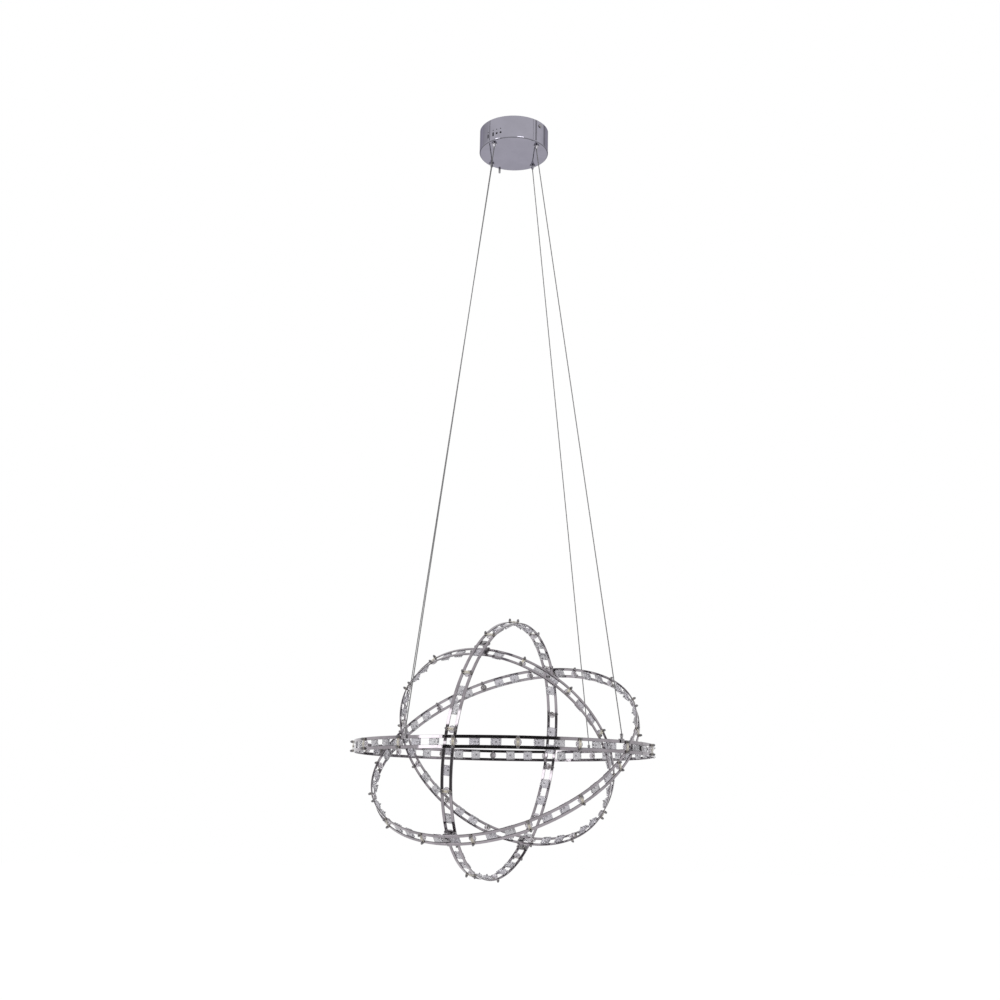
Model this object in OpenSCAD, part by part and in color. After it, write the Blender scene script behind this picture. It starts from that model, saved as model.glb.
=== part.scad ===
// Pendant light: four ladder-like chrome hoops, each pivoted inside the next as a gimbal,
// hung by four thin steel cables from a round ceiling canopy.
// The origin is the middle of the ceiling face. Everything hangs below it, with +Z up.

/* [Hoops] */
// Radius of the outermost hoop, to the middle of its rail strips
outer_r = 250; // [230:1:320]
// Radial step from each hoop to the next one in
hoop_step = 19; // [18:0.5:24]
// Width of every hoop across both rails
hoop_w = 20; // [19.5:0.5:26]
// Width of one rail strip
rail_w = 5; // [4:0.25:5.5]
// Thickness of one rail strip
rail_t = 1.6; // [1.2:0.1:2]
// Small bevel along the edges of the rail strips
rail_edge = 0.3; // [0.1:0.05:0.4]
// Azimuth of the axis on which the second hoop swings in the outermost one
pivot_azimuth = -29; // [-44:1:-16]
// Tilt of the second hoop in the outermost one, as photographed
second_tilt = 39; // [-90:1:90]
// Tilt of the third hoop in the second one, as photographed
third_tilt = -81; // [-90:1:90]
// Tilt of the innermost hoop in the third one, as photographed
inner_tilt = -92; // [-120:1:90]

/* [Crystals] */
// Side of a square crystal
crystal_w = 16; // [13:0.5:17]
// Depth of a crystal, inwards from the rails
crystal_d = 6; // [4.5:0.25:6.75]
// Depth of the straight band round a crystal before its bevels start
crystal_girdle = 3; // [1.5:0.25:4]
// Side of the flat face in the middle of a crystal
crystal_table = 8; // [5:0.5:11]
// Radius of the pin in the face of a crystal
crystal_pin_r = 0.9; // [0.6:0.1:1.2]
// Height that the pin stands proud of its crystal
crystal_pin_h = 2.5; // [1.5:0.25:3]

/* [LEDs] */
// Number of LEDs on the outermost hoop, and on the second one
outer_leds = 16; // [12:4:16]
// Number of LEDs on the third hoop, and on the innermost one
inner_leds = 14; // [10:4:14]
// Gap between the round lens behind each LED and the heads of its two studs
lens_gap = 0.45; // [0.2:0.05:0.6]
// Depth of a lens, inwards from the rails
lens_d = 4.6; // [3.5:0.1:5.5]
// Width of the narrow LED board that bridges the two rails
board_w = 5; // [4:0.25:6]
// Thickness of the LED board
board_t = 1.2; // [0.8:0.1:1.6]
// Radius of the LED's dome on its board
emitter_r = 1.9; // [1.2:0.1:2.2]
// Height of the LED's dome over its board
emitter_h = 1.1; // [0.8:0.1:1.6]
// Radius of the bullet-shaped head of a stud
stud_r = 2.2; // [1.5:0.1:2.3]
// Height of a stud's head, outwards from its board
stud_h = 4.4; // [3.5:0.1:5.5]
// Radius of the shank of a stud
stud_shank_r = 0.8; // [0.6:0.1:1]

/* [Pivots] */
// Width of a pivot plate
plate_w = 11; // [9.5:0.5:12]
// Length that a pivot plate stands over each side of its hoop
plate_over = 0.5; // [0.25:0.25:3]
// Thickness of a pivot plate
plate_t = 2.2; // [1.6:0.1:2.6]
// Radius of a pivot pin in its bush
pin_r = 2; // [1.6:0.1:2.2]
// Radius of the shoulder that keeps two hoops apart
shoulder_r = 3.4; // [2.8:0.1:4]
// Outer radius of the plastic bush
bush_r = 3.3; // [2.9:0.1:3.7]
// Thickness of the flange of the bush
bush_flange_t = 1; // [0.8:0.1:1.5]
// Thickness of the head of a pivot pin
pin_head_t = 1.8; // [1.2:0.1:2.2]
// Thickness of the nut of a pivot pin
nut_t = 2.8; // [2:0.2:3.2]
// Radius of the shank of the rivets that hold the plates
rivet_r = 1.2; // [0.8:0.1:1.4]

/* [Cables] */
// Height from the underside of the canopy down to the middle of the hoops
cable_drop = 1094; // [700:1:1500]
// Radius of a cable
cable_r = 0.9; // [0.5:0.05:1.1]
// Radius at which the cables leave the canopy
gland_circle_r = 55; // [48:0.5:55.5]
// Azimuth of the first of the four cable glands
gland_azimuth = -41; // [-46:0.5:-36]
// Radius of the collar of a cable gland
gland_r = 4.5; // [4:0.1:5]
// Thickness of the collar of a cable gland
gland_collar_t = 2.5; // [1.5:0.25:4]
// Length of the tapered nipple under the collar
nipple_l = 5; // [3:0.5:8]
// Radius of the threaded neck of a cable gland
neck_r = 3.5; // [2.5:0.1:3.6]
// Radius of the cable grip on the outermost hoop
grip_r = 2.5; // [1.8:0.1:3]
// Height of the cable grip
grip_h = 8; // [6:0.5:12]
// Width of the lug that carries a cable grip
lug_w = 8; // [6:0.5:9]
// Thickness of the lug's sheet
lug_t = 1.5; // [1:0.1:2]
// Angle from each of the two front lugs to the LED beside it
lug_front = 3.1; // [2:0.1:4]
// Angle from each of the two back lugs to the LED beside it
lug_back = 2.1; // [2:0.1:4]

/* [Canopy] */
// Outer radius of the canopy
canopy_r = 64; // [64:1:75]
// Height of the canopy
canopy_h = 44; // [40:1:60]
// Sheet thickness of the canopy
canopy_t = 1.2; // [0.8:0.1:1.6]
// Outer radius of the canopy's lower edge
canopy_edge = 2.5; // [2:0.25:4]
// Azimuth of one of the two side screws
screw_azimuth = -42; // [-60:1:-30]
// Depth of the side screws under the ceiling
screw_z = 9; // [7:0.5:10]
// Radius of the shank of a side screw
screw_r = 1.7; // [1.2:0.1:1.9]
// Azimuth of the first of the two round vents in the side wall
vent_azimuth = -112.7; // [-116:0.1:-110]
// Angle from each round vent to the next vent
vent_step = 7.1; // [6:0.1:8]
// Radius of a round vent
vent_r = 1.9; // [1:0.1:2.2]
// Angle between the two vent slots
slot_step = 11.2; // [8:0.1:13]
// Width of a vent slot
slot_w = 3; // [1.5:0.1:3.6]
// Height of a vent slot
slot_h = 8.2; // [5:0.2:11]
// Depth of the middle of the vents under the ceiling
vent_z = 31.3; // [30:0.1:33]
// Radius of the pinhole over each vent
pinhole_r = 1; // [0.5:0.1:1.2]
// Height of the pinholes over the middle of the vents
pinhole_up = 7.9; // [7.2:0.1:9]
// Thickness of the gauze behind the vents
gauze_t = 0.4; // [0.2:0.1:0.6]
// Azimuth of the remote receiver, behind the canopy
receiver_azimuth = 113.5; // [105:0.5:120]
// Radius of the remote receiver
receiver_r = 2.1; // [1.9:0.1:2.6]
// Length of the remote receiver
receiver_l = 21; // [18:0.5:26]
// Length of the receiver that shows under the canopy
receiver_reach = 7; // [4:0.5:8]
// Radius of the arm that carries the receiver through the canopy's wall
receiver_arm_r = 1.3; // [1:0.1:1.5]

/* [Ceiling bracket] */
// Width of the bracket's bar
bar_w = 24; // [20:1:30]
// Sheet thickness of the bracket
bar_t = 2; // [1.5:0.1:3]
// Pitch circle of the two ceiling bolts
bolt_pcd = 84; // [80:1:96]
// Radius of a ceiling bolt's hole
bolt_hole_r = 2.6; // [2:0.1:3.2]
// Half length of the bracket's cross arm
arm_l = 36; // [34:1:44]
// Width of the bracket's ears
ear_w = 16; // [12:0.5:18]
// Height of the bracket's ears
ear_h = 14; // [13:0.5:18]

/* [Driver] */
// Length of the LED driver's case
driver_l = 58; // [50:1:64]
// Width of the driver's case
driver_w = 30; // [24:1:31]
// Height of the driver's case
driver_h = 20; // [16:1:26]
// Rounding of the driver's upright edges
driver_corner = 3; // [1:0.5:5]
// Length of the terminal block
terminal_l = 24; // [20:1:28]
// Width of the terminal block
terminal_w = 15; // [12:1:17]
// Height of the terminal block
terminal_h = 11; // [9:0.5:14]

/* [Hidden] */
$fn = 48;

// Gap between two pieces that sit on each other
seat = 0.03;
// Radial gap round a shank that is fixed in its hole
fixed_gap = 0.05;
// Radial gap of a pin that turns in its bush
running_gap = 0.05;
// Gap beside the head and the shoulder of a turning pin
end_play = 0.25;
// Gap between the head of a pin, or the corners of its nut, and the rails beside it
head_clearance = 1.2;
nut_clearance = 1;
// Height of the middle of the hoops
hoop_z = -canopy_h - cable_drop;
// Distance of a rail's middle from the middle of its hoop
rail_z = (hoop_w - rail_w) / 2;
// Half of the opening between two rails
half_gap = hoop_w / 2 - rail_w;
// Length of a pivot plate
plate_l = hoop_w + 2 * plate_over;
// Radius of a pivot pin's head
pin_head_r = half_gap - head_clearance;
// Corner radius of a pivot pin's hexagonal nut
nut_r = half_gap - nut_clearance;
// Radius of the bush's flange
bush_flange_r = bush_r + 1.2;
// Length of an LED board
board_l = hoop_w - 1;
// Radius and height of a stud's head inside the rail
stud_head_r = 1.3;
stud_head_h = 0.8;
// Radius of a stud's blunt tip
stud_tip_r = 1;
// Radius and height of a rivet's round heads
rivet_head_r = rivet_r + 0.8;
rivet_head_h = 0.9;
// Depth of the blind hole for a crystal's pin
crystal_hole_d = 3;
// Radius of the foot of a crystal pin's head
crystal_pin_head_r = crystal_pin_r + 0.6;
// Radius of a lens, and of its front face
lens_r = rail_z - stud_head_r - lens_gap;
lens_front_r = lens_r - 1.6;
// Depth of a lens before its bevel starts
lens_girdle = lens_d / 2;
// Radius of the canopy's inside
canopy_in_r = canopy_r - canopy_t;
// Height of the inside face of the canopy's floor
floor_z = canopy_t - canopy_h;
// Height of the nipple's lower end
nipple_z = -canopy_h - gland_collar_t - nipple_l;
// Radius of a gland nut's corners, its thickness, and what the neck stands over it
gland_nut_r = neck_r + 2.3;
gland_nut_t = 3;
neck_over = 2;
// Radius of a gland's bore
gland_bore_r = cable_r + 0.25;
// Straight stretch of cable between a fitting and the bend beside it
bend_out = 1;
// Gap between the outer hoop's edge and the tab of a cable lug
tab_gap = 0.2;
// Reach of a lug's tab inwards of the rails' middle
tab_in = 3;
// Height of the top face of a lug's tab over the hoop's middle
tab_top = hoop_w / 2 + tab_gap + lug_t;
// Height of the bend at the lower end of a cable
cable_foot_z = hoop_z + tab_top + grip_h + bend_out;
// Height of the bend at the upper end of a cable
cable_head_z = nipple_z - bend_out;
// Reach of the bracket and its ears, just inside the canopy wall
bracket_r = canopy_in_r - 0.2;
// Inner face of the ears
ear_x = bracket_r - bar_t;
// Place of the terminal block and of the earth screw on the cross arm
terminal_y = driver_w / 2 + terminal_w / 2 + 1.5;
earth_y = -driver_w / 2 - 9;
// Radius of the earth screw's shank
earth_r = 2;
// Reach of the gauze past the outermost vents, as an angle and as a height
gauze_angle = 8;
gauze_margin = 2;
// Radius of the receiver's shoulder outside the wall, and radius and thickness of its collar inside
receiver_shoulder_r = receiver_arm_r + 0.5;
receiver_collar_r = receiver_arm_r + 1.2;
receiver_collar_t = 1.5;
// Gap between the receiver and the canopy's wall
receiver_gap = 0.85;
// Bevel round the receiver's top
receiver_edge = 0.6;
// Radius at which the receiver stands, and heights of its tip and its arm
receiver_circle_r = canopy_r + receiver_gap + receiver_r;
receiver_z = -canopy_h - receiver_reach;
receiver_arm_z = receiver_z + receiver_l - receiver_r;

// Radius, number of LEDs and place of the first LED of hoop k, counted from the outside
function hoop_r(k) = outer_r - k * hoop_step;
function leds(k) = k < 2 ? outer_leds : inner_leds;
function led_start(k) = [0.5, 0.5, 0.25, -0.25][k];
function led_angles(k) = [for (i = [0 : leds(k) - 1]) (i + led_start(k)) * 360 / leds(k)];
// Angles at which hoop k carries the bushes of the next hoop in, and the pins of its own pivots
function bush_angles(k) = k == 3 ? [] : k == 1 ? [90, 270] : [0, 180];
function pin_angles(k) = k == 0 ? [] : k == 2 ? [90, 270] : [0, 180];
function pivot_angles(k) = concat(bush_angles(k), pin_angles(k));
// Share of the way from LED i to the next one at which a pivot lies, for each pivot
function pivot_shares(k, i) = [for (p = pivot_angles(k))
    ((p * leds(k) / 360 - led_start(k) - i) % leds(k) + leds(k)) % leds(k)];
// True where a pivot takes the place of one of the two crystals between LED i and the next one
function lone_crystal(k, i) =
    len([for (s = pivot_shares(k, i)) if (s < 1 && abs(s - 0.5) > 0.1) s]) > 0;
function crystal_shares(k, i) = lone_crystal(k, i) ? [1 / 2] : [1 / 3, 2 / 3];
function crystal_angles(k) = [for (i = [0 : leds(k) - 1]) for (s = crystal_shares(k, i))
    (i + s + led_start(k)) * 360 / leds(k)];
// Angles of the four cable lugs on the outermost hoop, each beside an LED, and of the four glands
function lug_angles() = [for (i = [0 : 3])
    90 * i - 180 / outer_leds + [-lug_front, lug_back, -lug_back, lug_front][i]];
function gland_angles() = [for (i = [0 : 3]) gland_azimuth + 90 * i];
// Azimuths of the two round vents and the two vent slots
function round_vents() = [vent_azimuth, vent_azimuth - vent_step];
function slot_vents() = [vent_azimuth - 2 * vent_step, vent_azimuth - 2 * vent_step - slot_step];
// Outer and inner face of the rails of hoop k
function rail_out(k) = hoop_r(k) + rail_t / 2;
function rail_in(k) = hoop_r(k) - rail_t / 2;
// Distance from the axis at which a flat face of width w sits inside, or outside, the rails
function seat_in(k, w) = sqrt(pow(rail_in(k), 2) - pow(w / 2, 2)) - seat;
function seat_out(k) = rail_out(k) + seat;
// Inner face of a bush plate, outer face of a pin plate, and ends of a pin's shoulder
function bush_plate_in(k) = seat_in(k, plate_w) - plate_t;
function pin_plate_out(k) = seat_out(k) + plate_t;
function shoulder_out(k) = bush_plate_in(k - 1) - bush_flange_t - end_play;

// The frame of hoop k: its axis is Z, and the pivots lie on X and Y
module in_hoop(k)
    translate([0, 0, hoop_z])
        rotate([0, 0, pivot_azimuth])
            rotate([k > 0 ? second_tilt : 0, 0, 0])
                rotate([0, k > 1 ? third_tilt : 0, 0])
                    rotate([k > 2 ? inner_tilt : 0, 0, 0])
                        children();

// Puts its children at each angle of a hoop, with +X pointing outwards
module around(angles)
    for (a = angles)
        rotate([0, 0, a])
            children();

// A rod along X, from x0 to x1
module rod(r, x0, x1)
    translate([x0, 0, 0])
        rotate([0, 90, 0])
            cylinder(h = x1 - x0, r = r);

// A pill-shaped plate that faces along X, w wide and l long in Z, from x0 to x1
module pill(w, l, x0, x1)
    translate([x0, 0, 0])
        rotate([0, 90, 0])
            linear_extrude(x1 - x0)
                union() {
                    square([l - w, w], center = true);
                    for (s = [-1, 1])
                        translate([s * (l - w) / 2, 0])
                            circle(w / 2);
                }

// Both places over the middles of the rails
module on_rails()
    for (s = [-1, 1])
        translate([0, 0, s * rail_z])
            children();

// The section of a rail strip with half thickness t and half width w, bevelled by e
module strip_section(t, w, e)
    polygon([[t, e - w], [t, w - e], [t - e, w], [e - t, w],
        [-t, w - e], [-t, e - w], [e - t, -w], [t - e, -w]]);

// One rail strip of hoop k, on side s, with the holes for its studs and rivets
module rail(k, s, more_rivets = [])
    color("#a9a7ad")
        in_hoop(k)
            difference() {
                translate([0, 0, s * rail_z])
                    rotate_extrude($fn = 180)
                        translate([hoop_r(k), 0])
                            strip_section(rail_t / 2, rail_w / 2, rail_edge);
                around(led_angles(k))
                    translate([0, 0, s * rail_z])
                        rod(stud_shank_r + fixed_gap, rail_in(k) - 1, rail_out(k) + 1);
                around(concat(pivot_angles(k), more_rivets))
                    translate([0, 0, s * rail_z])
                        rod(rivet_r + fixed_gap, rail_in(k) - 1, rail_out(k) + 1);
            }

// The bevelled outline of a crystal, in depth and width
module crystal_outline()
    polygon([[0, -crystal_w / 2], [0, crystal_w / 2], [-crystal_girdle, crystal_w / 2],
        [-crystal_d, crystal_table / 2], [-crystal_d, -crystal_table / 2],
        [-crystal_girdle, -crystal_w / 2]]);

// One square crystal with four bevels and the blind hole of its pin, its back at X = 0
module crystal()
    difference() {
        intersection() {
            translate([0, 0, -crystal_w])
                linear_extrude(2 * crystal_w)
                    crystal_outline();
            rotate([90, 0, 0])
                translate([0, 0, -crystal_w])
                    linear_extrude(2 * crystal_w)
                        crystal_outline();
        }
        rod(crystal_pin_r + fixed_gap, -crystal_d - 1, -crystal_d + crystal_hole_d);
    }

module crystals(k)
    color("#d9d7e6")
        in_hoop(k)
            around(crystal_angles(k))
                translate([seat_in(k, crystal_w), 0, 0])
                    crystal();

// The dark pins in the faces of the crystals, each with a shank and a pointed head
module crystal_pins(k)
    color("#4b484e")
        in_hoop(k)
            around(crystal_angles(k))
                translate([seat_in(k, crystal_w) - crystal_d, 0, 0])
                    rotate([0, -90, 0])
                        rotate_extrude($fn = 24)
                            polygon([[0, fixed_gap - crystal_hole_d], [crystal_pin_r, fixed_gap - crystal_hole_d],
                                [crystal_pin_r, seat], [crystal_pin_head_r, seat],
                                [crystal_pin_head_r, crystal_pin_h * 0.3], [crystal_pin_r * 0.4, crystal_pin_h],
                                [0, crystal_pin_h]]);

// The round bevelled lenses, on the inside of the rails
module led_lenses(k)
    color("#c9c6d2")
        in_hoop(k)
            around(led_angles(k))
                translate([seat_in(k, 2 * lens_r), 0, 0])
                    rotate([0, -90, 0])
                        rotate_extrude()
                            polygon([[0, 0], [lens_r, 0], [lens_r, lens_girdle],
                                [lens_front_r, lens_d], [0, lens_d]]);

// The boards that bridge the rails on their outside, each with the LED's dome in its middle
module led_boards(k)
    color("#d8cba6")
        in_hoop(k)
            around(led_angles(k))
                translate([seat_out(k), 0, 0]) {
                    difference() {
                        pill(board_w, board_l, 0, board_t);
                        on_rails()
                            rod(stud_shank_r + fixed_gap, -1, board_t + 1);
                    }
                    rotate([0, 90, 0])
                        rotate_extrude()
                            polygon([[0, board_t / 2], [emitter_r, board_t / 2],
                                for (a = [0 : 18 : 90])
                                    [emitter_r * cos(a), board_t + emitter_h * sin(a)]]);
                }

// The studs that hold the boards: a head inside the rail, a shank and a blunt bullet outside
module led_studs(k)
    color("#6f6c72")
        in_hoop(k)
            around(led_angles(k))
                on_rails()
                    rotate([0, 90, 0])
                        rotate_extrude($fn = 24)
                            polygon([[0, rail_in(k) - seat - stud_head_h],
                                [stud_head_r, rail_in(k) - seat - stud_head_h],
                                [stud_head_r, rail_in(k) - seat], [stud_shank_r, rail_in(k) - seat],
                                [stud_shank_r, seat_out(k) + board_t + seat],
                                [stud_r, seat_out(k) + board_t + seat],
                                [stud_r, seat_out(k) + board_t + stud_h * 0.35],
                                [stud_r * 0.85, seat_out(k) + board_t + stud_h * 0.7],
                                [stud_tip_r, seat_out(k) + board_t + stud_h],
                                [0, seat_out(k) + board_t + stud_h]]);

// The plates across both rails that carry the bushes, inside, and the pins, outside
module pivot_plates(k)
    color("#8f8d93")
        in_hoop(k) {
            around(bush_angles(k))
                difference() {
                    pill(plate_w, plate_l, bush_plate_in(k), seat_in(k, plate_w));
                    rod(bush_r + fixed_gap, bush_plate_in(k) - 1, rail_in(k) + 1);
                    on_rails()
                        rod(rivet_r + fixed_gap, bush_plate_in(k) - 1, rail_in(k) + 1);
                }
            around(pin_angles(k))
                difference() {
                    pill(plate_w, plate_l, seat_out(k), pin_plate_out(k));
                    rod(pin_r + fixed_gap, rail_in(k), pin_plate_out(k) + 1);
                    on_rails()
                        rod(rivet_r + fixed_gap, rail_in(k), pin_plate_out(k) + 1);
                }
        }

// One rivet along X between the faces x0 and x1, with a round head on each
module rivet(x0, x1)
    rotate([0, 90, 0])
        rotate_extrude($fn = 24)
            polygon([[0, x0 - seat - rivet_head_h], [rivet_head_r * 0.6, x0 - seat - rivet_head_h * 0.85],
                [rivet_head_r, x0 - seat - rivet_head_h * 0.2], [rivet_head_r, x0 - seat],
                [rivet_r, x0 - seat], [rivet_r, x1 + seat],
                [rivet_head_r, x1 + seat], [rivet_head_r, x1 + seat + rivet_head_h * 0.2],
                [rivet_head_r * 0.6, x1 + seat + rivet_head_h * 0.85], [0, x1 + seat + rivet_head_h]]);

module rivets(k, lugs = false)
    color("#9d9ba1")
        in_hoop(k) {
            on_rails() {
                around(bush_angles(k))
                    rivet(bush_plate_in(k), rail_out(k));
                around(pin_angles(k))
                    rivet(rail_in(k), pin_plate_out(k));
            }
            if (lugs)
                translate([0, 0, rail_z])
                    around(lug_angles())
                        rivet(rail_in(k), seat_out(k) + lug_t);
        }

// The flanged bushes, flush with the outer face of their plates
module bushes(k)
    color("#e4e2dc")
        in_hoop(k)
            around(bush_angles(k))
                difference() {
                    union() {
                        rod(bush_r, bush_plate_in(k) - bush_flange_t / 2, seat_in(k, plate_w));
                        rod(bush_flange_r, bush_plate_in(k) - bush_flange_t, bush_plate_in(k));
                    }
                    rod(pin_r + running_gap, bush_plate_in(k) - bush_flange_t - 1, rail_in(k) + 1);
                }

// The pins on which hoop k swings: a head outside the bush, a shoulder, and a threaded end
module pivot_pins(k)
    color("#77757b")
        in_hoop(k)
            around(pin_angles(k))
                rotate([0, 90, 0])
                    rotate_extrude()
                        polygon([[0, seat_out(k) - nut_t - 0.8], [pin_r - 0.4, seat_out(k) - nut_t - 0.8],
                            [pin_r, seat_out(k) - nut_t - 0.4], [pin_r, pin_plate_out(k) + seat],
                            [shoulder_r, pin_plate_out(k) + seat], [shoulder_r, shoulder_out(k)],
                            [pin_r, shoulder_out(k)], [pin_r, seat_in(k - 1, plate_w) + end_play],
                            [pin_head_r, seat_in(k - 1, plate_w) + end_play],
                            [pin_head_r, seat_in(k - 1, plate_w) + end_play + pin_head_t * 0.5],
                            [pin_head_r * 0.7, seat_in(k - 1, plate_w) + end_play + pin_head_t],
                            [0, seat_in(k - 1, plate_w) + end_play + pin_head_t]]);

// The nuts of the pivot pins, between the rails of hoop k
module pivot_nuts(k)
    color("#77757b")
        in_hoop(k)
            around(pin_angles(k))
                difference() {
                    translate([seat_out(k) - seat - nut_t, 0, 0])
                        rotate([0, 90, 0])
                            cylinder(h = nut_t, r = nut_r, $fn = 6);
                    rod(pin_r + fixed_gap, seat_out(k) - nut_t - 1, seat_out(k) + 1);
                }

// The angle pieces on the outermost hoop's upper rail that carry the cable grips
module cable_lugs()
    color("#8f8d93")
        in_hoop(0)
            around(lug_angles())
                difference() {
                    union() {
                        translate([seat_out(0), -lug_w / 2, half_gap])
                            cube([lug_t, lug_w, tab_top - half_gap]);
                        translate([hoop_r(0) - tab_in, -lug_w / 2, tab_top - lug_t])
                            cube([seat_out(0) + lug_t - hoop_r(0) + tab_in, lug_w, lug_t]);
                    }
                    translate([0, 0, rail_z])
                        rod(rivet_r + fixed_gap, rail_in(0), seat_out(0) + lug_t + 1);
                }

// The grips that hold the cables' lower ends
module cable_grips()
    color("#55525a")
        in_hoop(0)
            around(lug_angles())
                translate([hoop_r(0), 0, tab_top])
                    rotate_extrude()
                        polygon([[0, 0], [grip_r * 0.8, 0], [grip_r * 0.8, grip_h * 0.4],
                            [grip_r, grip_h * 0.5], [grip_r, grip_h - 0.5], [grip_r - 0.5, grip_h],
                            [cable_r + fixed_gap, grip_h], [cable_r + fixed_gap, grip_h * 0.2], [0, grip_h * 0.2]]);

// Cable i: a straight run between two slight bends, with a straight end in each fitting
module cable(i) {
    foot_a = pivot_azimuth + lug_angles()[i];
    foot = outer_r * [cos(foot_a), sin(foot_a)];
    run = gland_circle_r * [cos(gland_angles()[i]), sin(gland_angles()[i])] - foot;
    rise = cable_head_z - cable_foot_z;
    end_z = hoop_z + tab_top + grip_h * 0.2 + seat;
    color("#b5b4b8")
        translate(foot)
            rotate([0, 0, atan2(run.y, run.x)]) {
                translate([0, 0, end_z])
                    cylinder(h = cable_foot_z - end_z, r = cable_r, $fn = 24);
                translate([0, 0, cable_foot_z])
                    rotate([0, atan2(norm(run), rise), 0])
                        cylinder(h = norm([norm(run), rise]), r = cable_r, $fn = 24);
                translate([0, 0, cable_foot_z])
                    sphere(r = cable_r, $fn = 24);
                translate([norm(run), 0, cable_head_z])
                    sphere(r = cable_r, $fn = 24);
                translate([norm(run), 0, cable_head_z])
                    cylinder(h = floor_z + gland_nut_t + neck_over + 2 - cable_head_z, r = cable_r, $fn = 24);
            }
}

// Puts its children at the four places where the cables leave the canopy
module at_glands()
    around(gland_angles())
        translate([gland_circle_r, 0, 0])
            children();

// The glands: a tapered nipple and a collar under the canopy, and a threaded neck through it
module cable_glands()
    color("#8c8a90")
        at_glands()
            rotate_extrude()
                polygon([[gland_bore_r, nipple_z], [neck_r * 0.65, nipple_z], [neck_r * 0.9, -canopy_h - gland_collar_t],
                    [gland_r, -canopy_h - gland_collar_t], [gland_r, -canopy_h - seat], [neck_r, -canopy_h - seat],
                    [neck_r, floor_z + gland_nut_t + neck_over], [gland_bore_r, floor_z + gland_nut_t + neck_over]]);

module gland_nuts()
    color("#a3a1a7")
        at_glands()
            translate([0, 0, floor_z + seat])
                difference() {
                    cylinder(h = gland_nut_t, r = gland_nut_r, $fn = 6);
                    translate([0, 0, -1])
                        cylinder(h = gland_nut_t + 2, r = neck_r + fixed_gap);
                }

// The half outline of the canopy's shell: open at the ceiling, with a rounded lower edge
module cup_outline() {
    inner_edge = canopy_edge - canopy_t;
    mid_r = canopy_r - canopy_edge;
    mid_z = canopy_edge - canopy_h;
    polygon(concat(
        [[0, -canopy_h], [mid_r, -canopy_h]],
        [for (a = [-75 : 15 : 0]) [mid_r + canopy_edge * cos(a), mid_z + canopy_edge * sin(a)]],
        [[canopy_r, 0], [canopy_in_r, 0]],
        [for (a = [0 : -15 : -75]) [mid_r + inner_edge * cos(a), mid_z + inner_edge * sin(a)]],
        [[mid_r, floor_z], [0, floor_z]]));
}

module canopy_cup()
    color("#9b99a8")
        difference() {
            rotate_extrude($fn = 120)
                cup_outline();
            at_glands()
                translate([0, 0, -canopy_h - 1])
                    cylinder(h = canopy_t + 2, r = neck_r + fixed_gap);
            for (a = [0, 180])
                rotate([0, 0, screw_azimuth + a])
                    translate([0, 0, -screw_z])
                        rod(screw_r + 0.3, bracket_r - 1, canopy_r + 1);
            translate([0, 0, -vent_z]) {
                around(round_vents())
                    rod(vent_r, canopy_in_r - 2, canopy_r + 2);
                around(slot_vents())
                    pill(slot_w, slot_h, canopy_in_r - 2, canopy_r + 2);
                around(concat(round_vents(), slot_vents()))
                    translate([0, 0, pinhole_up])
                        rod(pinhole_r, canopy_in_r - 2, canopy_r + 2);
            }
            rotate([0, 0, receiver_azimuth])
                translate([0, 0, receiver_arm_z])
                    rod(receiver_arm_r + fixed_gap, canopy_in_r - 2, canopy_r + 2);
        }

// The strip of black gauze behind the vents
module vent_gauze() {
    first = slot_vents()[1] - gauze_angle;
    bottom = -vent_z - slot_h / 2 - gauze_margin;
    color("#26252a")
        rotate([0, 0, first])
            rotate_extrude(angle = vent_azimuth + gauze_angle - first, $fn = 120)
                translate([canopy_in_r - seat - gauze_t, bottom])
                    square([gauze_t, pinhole_up - vent_z + pinhole_r + gauze_margin - bottom]);
}

// The bullet-shaped receiver for a remote control: it hangs outside the canopy's back wall on a
// short arm, with a shoulder outside the wall and a collar inside
module remote_receiver()
    color("#8f8e94")
        rotate([0, 0, receiver_azimuth]) {
            translate([receiver_circle_r, 0, receiver_z])
                rotate_extrude()
                    polygon(concat(
                        [for (a = [-90 : 15 : 0]) [receiver_r * cos(a), receiver_r * (1 + sin(a))]],
                        [[receiver_r, receiver_l - receiver_edge], [receiver_r - receiver_edge, receiver_l],
                            [0, receiver_l]]));
            translate([0, 0, receiver_arm_z]) {
                rod(receiver_arm_r, canopy_in_r - 1, receiver_circle_r);
                rod(receiver_shoulder_r, canopy_r + seat, receiver_circle_r - receiver_r / 2);
                translate([sqrt(pow(canopy_in_r, 2) - pow(receiver_collar_r, 2)) - seat, 0, 0])
                    rod(receiver_collar_r, -receiver_collar_t, 0);
            }
        }

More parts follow.
